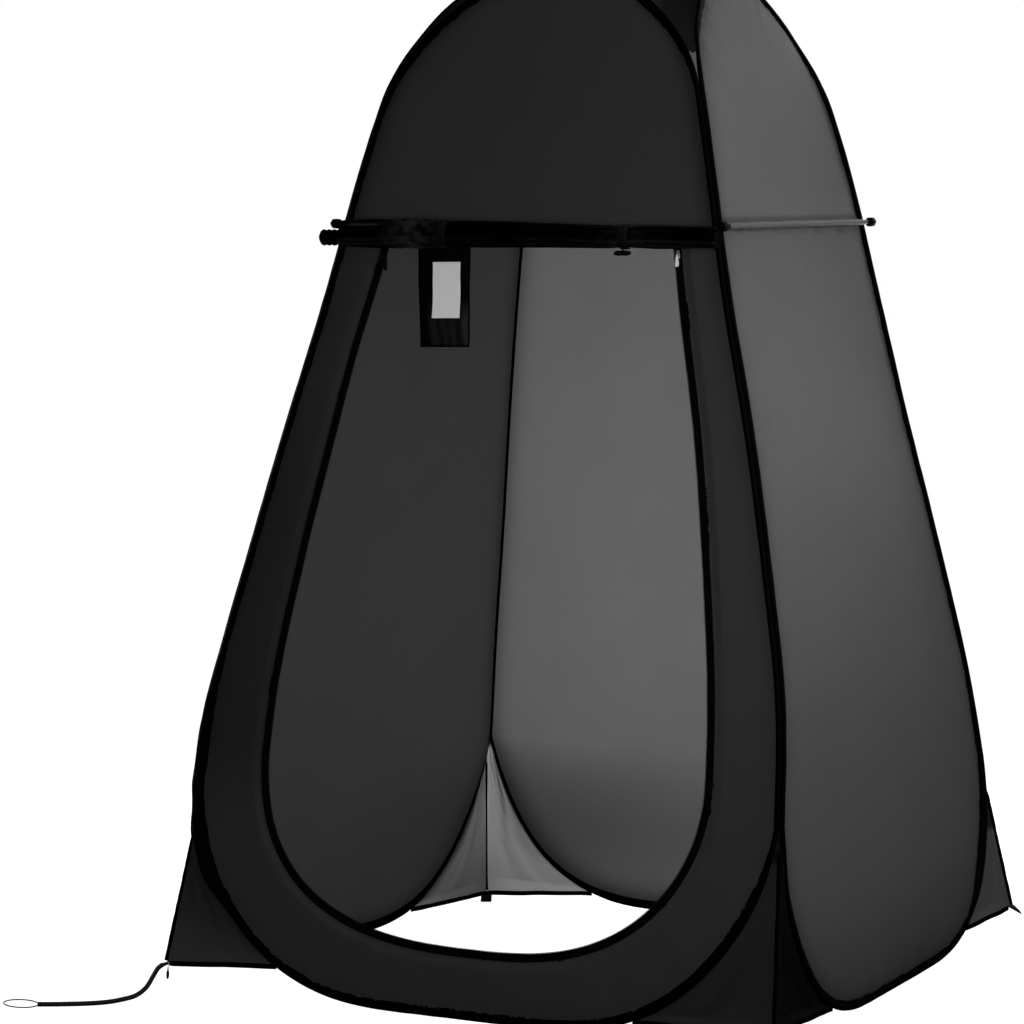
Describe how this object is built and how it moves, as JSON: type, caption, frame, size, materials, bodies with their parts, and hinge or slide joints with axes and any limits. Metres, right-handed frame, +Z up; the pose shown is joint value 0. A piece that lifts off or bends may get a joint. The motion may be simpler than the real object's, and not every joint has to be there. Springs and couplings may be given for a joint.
{
  "type": "pop-up shower tent",
  "caption": "Tall pop-up fabric privacy tent: sprung hoops in sleeves on every face, open front doorway with the door rolled up, folded corner gussets, no floor.",
  "frame": {"origin": "on the ground under the middle of the tent", "axes": "+Z up; the doorway faces -Y; +X is to the right of somebody who looks at the doorway"},
  "size_m": [1.4706, 1.5275, 1.9137],
  "materials": {
    "black_polyester": "plain woven coated polyester, slight sheen",
    "black_polyester_thin": "plain woven coated polyester, lets a little light through",
    "black_binding_tape": "matt woven tape",
    "black_webbing": "matt webbing",
    "black_coated_rod": "coated fibre rod with moulded tips",
    "black_plastic": "moulded plastic",
    "silver_metal": "plated zip metal",
    "white_satin": "satin ribbon, blank"
  },
  "bodies": {
    "root": {"front_panel_upper": "black_polyester", "front_panel_lower": "black_polyester", "roof_panel": "black_polyester", "door_roll": "black_polyester", "gusset_fl_front": "black_polyester", "gusset_fr_front": "black_polyester", "inner_pocket": "black_polyester", "pole_sleeve_right": "black_polyester_thin", "pole_sleeve_left": "black_polyester_thin", "right_panel_upper": "black_polyester_thin", "back_panel_upper": "black_polyester_thin", "left_panel_upper": "black_polyester_thin", "right_panel_lower": "black_polyester_thin", "back_panel_lower": "black_polyester_thin", "left_panel_lower": "black_polyester_thin", "gusset_fl_left": "black_polyester_thin", "gusset_fr_right": "black_polyester_thin", "gusset_br_back": "black_polyester_thin", "gusset_br_right": "black_polyester_thin", "gusset_bl_left": "black_polyester_thin", "gusset_bl_back": "black_polyester_thin", "hoop_front": "black_binding_tape", "hoop_right": "black_binding_tape", "hoop_back": "black_binding_tape", "hoop_left": "black_binding_tape", "door_zip": "black_binding_tape", "ridge_fl": "black_binding_tape", "ridge_fr": "black_binding_tape", "ridge_br": "black_binding_tape", "ridge_bl": "black_binding_tape", "hem_fl": "black_binding_tape", "hem_fr": "black_binding_tape", "hem_br": "black_binding_tape", "hem_bl": "black_binding_tape", "door_tie_left": "black_webbing", "door_tie_right": "black_webbing", "peg_loop_fl": "black_webbing", "peg_loop_fr": "black_webbing", "peg_loop_br": "black_webbing", "peg_loop_bl": "black_webbing", "corner_strap": "black_webbing", "strap_loop": "black_webbing", "zip_pull_left": "black_webbing", "side_pole_right": "black_coated_rod", "side_pole_left": "black_coated_rod", "door_toggle": "black_plastic", "zip_slider_left": "black_plastic", "zip_slider_right": "silver_metal", "zip_pull_right": "silver_metal", "care_tag": "white_satin"}
  },
  "joints": []
}
